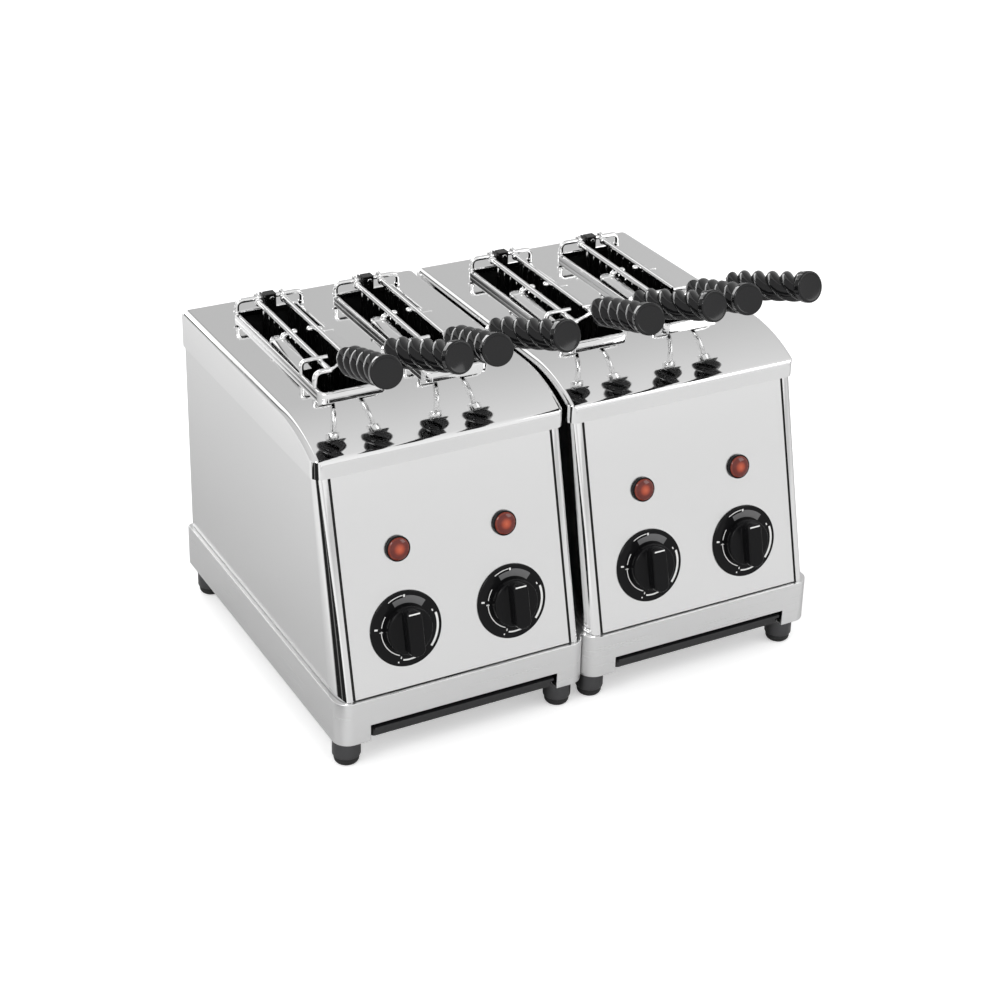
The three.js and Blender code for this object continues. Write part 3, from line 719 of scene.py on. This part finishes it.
# Cable glands. A black nylon bush with a nut behind it sits in each back wall; it is closed, and
# no cord is fitted.
nylon = moulded("gland_nylon", (0.015, 0.015, 0.015), (0.35, 0.5), 300)
upended = Matrix.Rotation(math.pi / 2, 4, "X")
for side, middle_x in cabinet_sides.items():
    gland_profile = [(0, -9 * mm), (3.2 * mm, -9 * mm), (3.2 * mm, -11 * mm)]
    gland_profile += rounded(mm, 4.6 * mm, -10 * mm, -90, -40, 3) + [(10 * mm, -5.5 * mm), (10 * mm, 0)]
    gland_profile += [(5.6 * mm, 0), (5.6 * mm, 2.1 * mm), (8.5 * mm, 2.1 * mm)]
    gland_profile += [(8.5 * mm, 9.1 * mm), (0, 9.1 * mm)]
    gland = turned(side + "_gland", gland_profile)
    gland.data.transform(Matrix.Translation((middle_x, cover_back - sheet, gland_z)) @ upended)
    softened(gland, 0.3 * mm, 2)
    fitted(gland, nylon, "cabinets", "black_plastic", side + "_cable_gland")

# Dials. A glossy black moulded plate with a bevelled rim lies on the panel round each spindle. Its
# scale is printed in white, with a plain grey field at the top.
dial_radius = 29.7 * mm
dial_height = 1.6 * mm
dial_hole = 6 * mm
dial_edge = 0.9 * mm
print_skin = 0.08 * mm
black_gloss = moulded("black_gloss", (0.006, 0.006, 0.0065), (0.12, 0.18), 70, 0.04, specular=0.12)
# White for the dials' printed scales, and for the painted highlight on each knob.
white_print_and_painted_highlight = moulded("white_print_and_painted_highlight", (0.75, 0.75, 0.74), (0.4, 0.5), 900)
grey_print = moulded("grey_print", (0.11, 0.11, 0.112), (0.4, 0.5), 900)
white_marks = (
    (25.2, 27.0, -44.1, 15.8),
    (20.7, 21.4, 141.3, 166.0),
    (20.7, 21.4, 173.2, 247.6),
    (24.2, 26.9, 168.1, 171.1),
    (19.8, 22.6, 174.6, 176.4),
    (26.0, 27.1, 247.6, 249.9),
    (21.8, 23.6, 251.0, 253.3),
    (23.7, 24.9, 256.7, 295.1),
    (26.2, 26.8, 91.1, 119.0),
    (25.0, 27.0, 86.8, 90.1),
    (24.0, 25.0, 20.7, 24.8),
)
grey_marks = ((20.2, 25.9, 46.2, 85.6), (20.2, 24.6, 85.6, 113.1))


def raised(height):
    """Fills the outline being drawn and makes a solid of that height of it."""
    bpy.ops.mesh.edge_face_add()
    bpy.ops.mesh.extrude_region_move(TRANSFORM_OT_translate={"value": (0, 0, height)})
    bpy.ops.mesh.select_all(action="SELECT")
    bpy.ops.mesh.normals_make_consistent(inside=False)
    bpy.ops.object.mode_set(mode="OBJECT")


def printed(name, marks, height):
    """Flat printed marks, each a part of a ring given by its radii and angles."""
    for inner, outer, start, end in marks:
        steps = max(2, round((end - start) / 4))
        outline = bow((0, 0), outer * mm, outer * mm, start, end, steps)
        outline += bow((0, 0), inner * mm, inner * mm, end, start, steps)
        mark = drawn(name, [(x, y, height) for x, y in outline])
        raised(print_skin)
        yield mark


def together(name, pieces):
    """Joins pieces into one object, as welds or print on one sheet would."""
    pieces = list(pieces)
    picked(*pieces)
    if len(pieces) > 1:
        bpy.ops.object.join()
    pieces[0].name = name
    return pieces[0]


def another(piece, name):
    """A copy with a mesh of its own."""
    twin = piece.copy()
    twin.data = piece.data.copy()
    twin.name = name
    bpy.context.collection.objects.link(twin)
    return twin


dial_profile = [(dial_hole, seam), (dial_radius, seam)]
dial_profile += rounded(dial_edge, dial_radius - dial_edge, dial_height - dial_edge, 0, 90, 5)
dial_profile += [(dial_hole, dial_height), (dial_hole, seam)]
dial_model = turned("dial", dial_profile, 96)
softened(dial_model, 0, 2, 40)
white_model = together("scale", printed("scale", white_marks, dial_height))
grey_model = together("field", printed("field", grey_marks, dial_height))
for number, (side, turned_to) in slots.items():
    for model, label, finish, nodes_for in (
        (dial_model, "_plate", black_gloss, ["dial_plate_" + number]),
        (white_model, "_scale", white_print_and_painted_highlight, []),
        (grey_model, "_field", grey_print, []),
    ):
        part = another(model, "dial_" + number + label)
        on_panel(part, cabinet_sides[side], turned_to * control_x, dial_rise)
        fitted(part, finish, "cabinets", "black_gloss", *nodes_for)
for model in (dial_model, white_model, grey_model):
    bpy.data.objects.remove(model)

# Timer knobs. A glossy black disc with a raised bar to grip, pushed on the spindle; a white line
# across the bar's upper end is a painted highlight.
knob_radius = 18.7 * mm
knob_foot = dial_height + seam
knob_head = 9.5 * mm
grip_half = 6.5 * mm
grip_top = 19 * mm
spindle_room = 12.8 * mm
knob_profile = [(0, knob_foot)] + rounded(0.5 * mm, knob_radius - 0.5 * mm, knob_foot + 0.5 * mm, -90, 0, 3)
knob_profile += rounded(1.3 * mm, knob_radius - 1.3 * mm, knob_head - 1.3 * mm, 0, 90, 6) + [(0, knob_head)]
knob_model = turned("knob", knob_profile, 72)
bar_reach = knob_radius - 0.6 * mm
bar_low = (-grip_half, -bar_reach, knob_head - mm)
bar = upright_block("bar", bar_low, (grip_half, bar_reach, grip_top), 5.5 * mm, 8)
softened(bar, 1.2 * mm, 5, 60)
machined(knob_model, bar, "UNION")
bpy.ops.mesh.primitive_cylinder_add(vertices=32, radius=3.3 * mm, depth=2 * spindle_room)
machined(knob_model, bpy.context.object)
softened(knob_model, 0, 2, 35)
# Painted highlight: a thin white strip on top of the grip bar.
painted_highlight_model = upright_block(
    "line",
    (-4.6 * mm, knob_radius - 3.6 * mm, grip_top),
    (4.6 * mm, knob_radius - 2.5 * mm, grip_top + print_skin),
)
for number, (side, turned_to) in slots.items():
    for model, label, finish, nodes_for in (
        (knob_model, "_turned", black_gloss, ["timer_knob_" + number]),
        (painted_highlight_model, "_line", white_print_and_painted_highlight, []),
    ):
        part = another(model, "knob_" + number + label)
        on_panel(part, cabinet_sides[side], turned_to * control_x, dial_rise)
        fitted(part, finish, "knob_" + number, "black_gloss", *nodes_for)
for model in (knob_model, painted_highlight_model):
    bpy.data.objects.remove(model)

# Pilot lamps. A dome of red glass sits in a black bezel whose stem goes through the panel; its red
# is brighter in the middle and darker towards the rim, a painted glow and painted shade.
stem_end = -14 * mm
stem_radius = 6.5 * mm
bezel_seat = 1.2 * mm
bezel_inner = 8.9 * mm
lens_radius = 8.8 * mm
bezel_profile = [(0, stem_end), (stem_radius, stem_end), (stem_radius, seam)]
bezel_profile += rounded(0.5 * mm, 9.5 * mm, seam + 0.5 * mm, -90, 0, 3)
bezel_profile += rounded(0.8 * mm, 9.2 * mm, 1.9 * mm, 0, 90, 5)
bezel_profile += [(bezel_inner, 2.7 * mm), (bezel_inner, bezel_seat), (0, bezel_seat)]
bezel_model = turned("bezel", bezel_profile, 64)
softened(bezel_model, 0, 2, 40)
lens_profile = [(0, 1.3 * mm), (lens_radius, 1.3 * mm)]
lens_profile += [(r, 2.5 * mm + h) for r, h in bow((0, 0), lens_radius, 2.6 * mm, 0, 90, 10)]
lens_model = turned("lens", lens_profile, 64)
softened(lens_model, 0, 2, 40)


def painted_glow_red(name, centre):
    """Red glass whose colour holds painted light: a painted glow in the middle, painted shade towards the
    rim, and lighter again at the very edge.
    """
    finish = moulded(name, (0.3, 0.03, 0.01), (0.04, 0.07), 120, 0.03)
    tree = finish.node_tree
    place = added(tree, "ShaderNodeTexCoord").outputs["Object"]
    lens_turn = (math.pi / 2 - lean_angle, 0, 0)
    lens_frame = {"Location": centre, "Rotation": lens_turn, "Scale": (lens_radius, lens_radius, 10)}
    flat = added(tree, "ShaderNodeMapping", {"Vector": place}, lens_frame, vector_type="TEXTURE")
    away = added(tree, "ShaderNodeVectorMath", {0: flat.outputs[0]}, operation="LENGTH")
    # Painted glow and painted shade: the red is brightest at the centre, darkens towards the rim and lightens
    # at the edge.
    painted_glow_reds = graded(
        tree,
        away.outputs["Value"],
        (0.0, (0.5, 0.1, 0.045)),
        (0.3, (0.36, 0.055, 0.022)),
        (0.55, (0.13, 0.014, 0.007)),
        (0.82, (0.1, 0.01, 0.006)),
        (1.0, (0.22, 0.035, 0.018)),
    )
    tree.links.new(painted_glow_reds, tree.nodes["Principled BSDF"].inputs["Base Color"])
    return finish


for number, (side, turned_to) in slots.items():
    node = "pilot_lamp_" + number
    bezel = another(bezel_model, "lamp_" + number + "_bezel")
    lens = another(lens_model, "lamp_" + number + "_lens")
    for part in (bezel, lens):
        on_panel(part, cabinet_sides[side], turned_to * control_x, lamp_rise)
    lens_points = [vertex.co for vertex in lens.data.vertices]
    centre = sum(lens_points, Vector()) / len(lens_points)
    fitted(bezel, black_gloss, "cabinets", "red_lens", node)
    fitted(lens, painted_glow_red("painted_glow_red_" + number, centre), "cabinets", "red_lens", node)
for model in (bezel_model, lens_model):
    bpy.data.objects.remove(model)

# Tong pivots. A chromed wire hoop stands on the back end of each slot's rim and springs the two
# halves apart; a dark clamp block holds its middle, with a bright rivet.
chrome = steel("chrome_wire", 0.85, 0.1, 0.3, (150, 150, 150))
clamp_steel = steel("clamp_steel", 0.06, 0.22, 0.3, (90, 90, 90))
hoop_wire = 2 * mm
hoop_y = -7 * mm
hoop_top = 11.5 * mm
hoop_half = 28.5 * mm
clamp_reach = 4 * mm
clamp_foot = 3 * mm
clamp_top = 14.8 * mm
rivet_z = 10.4 * mm
slot_places = {n: Vector((cabinet_sides[s] + t * slot_x, slot_back, rim_top)) for n, (s, t) in slots.items()}


def wire(name, corners, radius, bend=0.0):
    """A drawn wire: straight runs with rounded bends, and cut ends."""
    corners = [Vector(corner) for corner in corners]
    path = [corners[0]]
    for before, corner, after in zip(corners, corners[1:], corners[2:]):
        back, onward = before - corner, after - corner
        reach = bend * math.tan((math.pi - back.angle(onward)) / 2)
        reach = min(reach, back.length * 0.48, onward.length * 0.48)
        start, end = corner + back.normalized() * reach, corner + onward.normalized() * reach
        for i in range(9):
            path.append(start.lerp(corner, i / 8).lerp(corner.lerp(end, i / 8), i / 8))
    path.append(corners[-1])
    run = bpy.data.curves.new(name, "CURVE")
    run.dimensions = "3D"
    run.bevel_depth = radius
    run.bevel_resolution = 4
    run.use_fill_caps = True
    line = run.splines.new("POLY")
    line.points.add(len(path) - 1)
    for point, place in zip(line.points, path):
        point.co = (*place, 1)
    bent = bpy.data.objects.new(name, run)
    bpy.context.collection.objects.link(bent)
    picked(bent)
    bpy.ops.object.convert(target="MESH")
    return bpy.context.object


def ball(place, radius):
    """A polished ball."""
    bpy.ops.mesh.primitive_uv_sphere_add(segments=24, ring_count=14, radius=radius, location=place)
    bpy.ops.object.transform_apply(location=True, rotation=True, scale=True)
    return bpy.context.object


def rod(start, end, radius):
    """A straight round piece between two points."""
    start, end = Vector(start), Vector(end)
    along = Vector((0, 0, 1)).rotation_difference(end - start).to_matrix().to_4x4()
    bpy.ops.mesh.primitive_cylinder_add(vertices=32, radius=radius, depth=(end - start).length)
    stick = bpy.context.object
    stick.data.transform(Matrix.Translation((start + end) / 2) @ along)
    return stick


hoop_corners = [(-hoop_half, seam), (-hoop_half, hoop_top), (hoop_half, hoop_top), (hoop_half, seam)]
hoop = wire("hoop", [(x, hoop_y, z) for x, z in hoop_corners], hoop_wire, 7.5 * mm)
shoes = []
for x in (-hoop_half, hoop_half):
    shoe = rod((x, hoop_y, seam), (x, hoop_y, 3.4 * mm), 2.6 * mm)
    softened(shoe, 0.5 * mm, 3)
    shoes.append(shoe)
hoop = together("hoop", [hoop] + shoes)
plates = []
for left, right in ((-7.2, -5.8), (-4.8, 4.9)):
    plate_low = (left * mm, hoop_y - clamp_reach, clamp_foot)
    plate = upright_block("clamp", plate_low, (right * mm, hoop_y + clamp_reach, clamp_top), 0.7 * mm, 4)
    softened(plate, 0.5 * mm, 3)
    plates.append(plate)
block = together("clamp", plates)
rivet = rod((mm, hoop_y - 4.6 * mm, rivet_z), (mm, hoop_y - 3.8 * mm, rivet_z), 2.1 * mm)
softened(rivet, 0.35 * mm, 3)
softened(hoop, 0, 2, 40)
for number, place in slot_places.items():
    for model, label, finish in (
        (hoop, "_hoop", chrome),
        (block, "_clamp", clamp_steel),
        (rivet, "_rivet", chrome),
    ):
        part = another(model, "tong_" + number + label)
        part.data.transform(Matrix.Translation(place))
        fitted(part, finish, "tong_" + number, "chrome_wire", "tong_" + number + "_pivot")
for model in (hoop, block, rivet):
    bpy.data.objects.remove(model)

# Tong jaws. Each half is a welded basket of chromed wire: a grid that holds the bread, a long spine
# whose eye rides on the hoop, two struts that stand on the slot's rim, a peg, and a guard strip.
jaw_x = 11 * mm
jaw_top = 7.2 * mm
jaw_foot = -137 * mm
jaw_back = -24 * mm
jaw_front = -152 * mm
strut_foot = 27 * mm
rear_strut = -135 * mm
peg_y = -74 * mm
peg_root = 5.5 * mm
peg_seat = 2.8 * mm
grid_posts = 11
spine_back = 9.6 * mm
guard_z = 2.1 * mm
guard_end = 6.25 * mm
grip_root = Vector((18, -205.5, 39.2)) * mm
grip_cap = Vector((28.7, -290.9, 67.8)) * mm
grip_axis = (grip_cap - grip_root).normalized()
hub = grip_root - grip_axis * 6.9 * mm
spine_front = Vector((jaw_x, jaw_front - 2 * mm, jaw_top))
fork = spine_front.lerp(hub, 0.16)
rear_top = jaw_top + 3.35 * mm
spine_way = [(jaw_x, hoop_y - 3 * mm, spine_back), spine_front, hub, grip_root + grip_axis * 24 * mm]
outline_way = [(jaw_front, jaw_top), (jaw_front, jaw_foot), (jaw_back, jaw_foot), (jaw_back, jaw_top)]
rear_way = [(peg_root, rear_top), (strut_foot, rear_top), (strut_foot, seam)]
peg_way = [(peg_root, jaw_top), (14 * mm, 6 * mm), (19 * mm, peg_seat), (strut_foot, peg_seat)]
wires = [
    wire("spine", spine_way, 2.4 * mm, 9 * mm),
    wire("outline", [(jaw_x, y, z) for y, z in outline_way], 2 * mm, 8 * mm),
    wire("rear_strut", [(x, rear_strut, z) for x, z in rear_way], 1.9 * mm, 4 * mm),
    wire("front_strut", [fork, (strut_foot, fork.y, fork.z), (strut_foot, fork.y, seam)], 2.3 * mm, 6 * mm),
    wire("peg", [(x, peg_y, z) for x, z in peg_way], 1.5 * mm, 2 * mm),
]
for i in range(1, grid_posts + 1):
    y = jaw_front + (jaw_back - jaw_front) * i / (grid_posts + 1)
    wires.append(wire("post", [(jaw_x, y, jaw_foot), (jaw_x, y, jaw_top)], 1.2 * mm))
bpy.ops.mesh.primitive_torus_add(
    major_radius=3.5 * mm,
    minor_radius=1.1 * mm,
    major_segments=36,
    minor_segments=14,
    rotation=(0, math.pi / 2, 0),
)
eye = bpy.context.object
bpy.ops.object.transform_apply(location=True, rotation=True, scale=True)
eye.data.transform(Matrix.Translation((jaw_x, hoop_y, hoop_top)))
wires += [eye, ball((jaw_x, hoop_y - 5.2 * mm, spine_back), 3.4 * mm)]
wires += [ball((6.6 * mm, peg_y, jaw_top), 2.7 * mm), ball((15.6 * mm, peg_y, 5.6 * mm), 2.7 * mm)]
ferrule = rod(grip_root - grip_axis * 11 * mm, grip_root - grip_axis * 0.6 * mm, 5.6 * mm)
softened(ferrule, 1.2 * mm, 4)
wires.append(ferrule)
guard_line = [(18.3 * mm, rear_strut), (28.3 * mm, rear_strut)]
guard_line += bow((19.75 * mm, -72.25 * mm), guard_end, guard_end, 0, 180, 16)
guard = drawn("guard", [(x, y, guard_z) for x, y in guard_line])
raised(1.5 * mm)
softened(guard, 0.4 * mm, 2)
wires.append(guard)
jaw = together("jaw", wires)
bpy.ops.object.shade_smooth_by_angle(angle=math.radians(40))
for number, place in slot_places.items():
    for side, mirror in (("left", -1), ("right", 1)):
        node = "tong_" + number + "_" + side + "_jaw"
        part = another(jaw, node + "_wires")
        if mirror < 0:
            part.data.transform(Matrix.Scale(-1, 4, (1, 0, 0)))
            part.data.flip_normals()
        part.data.transform(Matrix.Translation(place))
        fitted(part, chrome, "tong_" + number + "_" + side, "chrome_wire", node)
bpy.data.objects.remove(jaw)

# Handles. Glossy black bakelite, moulded like a rope of three strands, with a narrow root and a
# round cap; each is pressed on the end of its jaw's spine.
strand_away = 5.4 * mm
strand_radius = 6.6 * mm
rope_turn = 51 * mm
grip_black = moulded("grip_black", (0.006, 0.006, 0.0065), (0.07, 0.12), 90, 0.04, specular=0.35)
cap_length = 6 * mm
cap_radius = 12.4 * mm
cap_dish = 0.4 * mm
rope_length = (grip_cap - grip_root).length - cap_length
cap_end = rope_length + cap_length
notch = strand_away / 2 + math.sqrt(strand_radius**2 - 0.75 * strand_away**2)
reach = math.degrees(math.atan2(notch * math.sin(math.pi / 3), notch / 2 - strand_away))
section = []
for strand in range(3):
    middle = math.radians(120 * strand)
    centre = (strand_away * math.cos(middle), strand_away * math.sin(middle))
    section += bow(centre, strand_radius, strand_radius, 120 * strand - reach, 120 * strand + reach, 14)[:-1]
rope = drawn("rope", [(x, y, 0) for x, y in section] + [(*section[0], 0)])
bpy.ops.mesh.remove_doubles(threshold=0.01 * mm)
bpy.ops.object.mode_set(mode="OBJECT")
twist = rope.modifiers.new("twist", "SCREW")
twist.axis = "Z"
twist.angle = 2 * math.pi * rope_length / rope_turn
twist.screw_offset = rope_length
twist.steps = 96
twist.render_steps = 96
bpy.ops.object.modifier_apply(modifier=twist.name)
bpy.ops.object.mode_set(mode="EDIT")
bpy.ops.mesh.select_all(action="SELECT")
bpy.ops.mesh.fill_holes(sides=0)
bpy.ops.mesh.select_all(action="SELECT")
bpy.ops.mesh.normals_make_consistent(inside=False)
bpy.ops.object.mode_set(mode="OBJECT")
sleeve_profile = [(0, 0)] + rounded(5 * mm, 8.2 * mm, 5 * mm, -90, 0, 8)
sleeve_profile += [(13.2 * mm, rope_length + mm), (0, rope_length + mm)]
machined(rope, turned("sleeve", sleeve_profile), "INTERSECT")
cap_profile = [(0, rope_length - 1.5 * mm)]
cap_profile += rounded(1.2 * mm, cap_radius - 2.2 * mm, rope_length - 0.3 * mm, -90, -40, 3)
cap_profile += rounded(1.4 * mm, cap_radius - 1.4 * mm, rope_length + 1.4 * mm, -40, 0, 3)
cap_profile += rounded(1.3 * mm, cap_radius - 1.3 * mm, cap_end - 1.3 * mm, 0, 90, 6)
cap_profile += [(cap_radius - 2.2 * mm, cap_end), (cap_radius - 2.8 * mm, cap_end - cap_dish)]
cap_profile += [(0, cap_end - cap_dish)]
machined(rope, turned("cap", cap_profile, 64), "UNION")
machined(rope, rod((0, 0, -mm), (0, 0, 26 * mm), 2.7 * mm))
softened(rope, 0, 2, 45)
for number, place in slot_places.items():
    for side, mirror in (("left", -1), ("right", 1)):
        node = "tong_" + number + "_" + side + "_handle"
        root = Vector((mirror * grip_root.x, grip_root.y, grip_root.z))
        axis = Vector((mirror * grip_axis.x, grip_axis.y, grip_axis.z))
        aim = Vector((0, 0, 1)).rotation_difference(axis).to_matrix().to_4x4()
        part = another(rope, node + "_rope")
        part.data.transform(Matrix.Translation(place + root) @ aim)
        fitted(part, grip_black, "tong_" + number + "_" + side, "black_gloss", node)
bpy.data.objects.remove(rope)
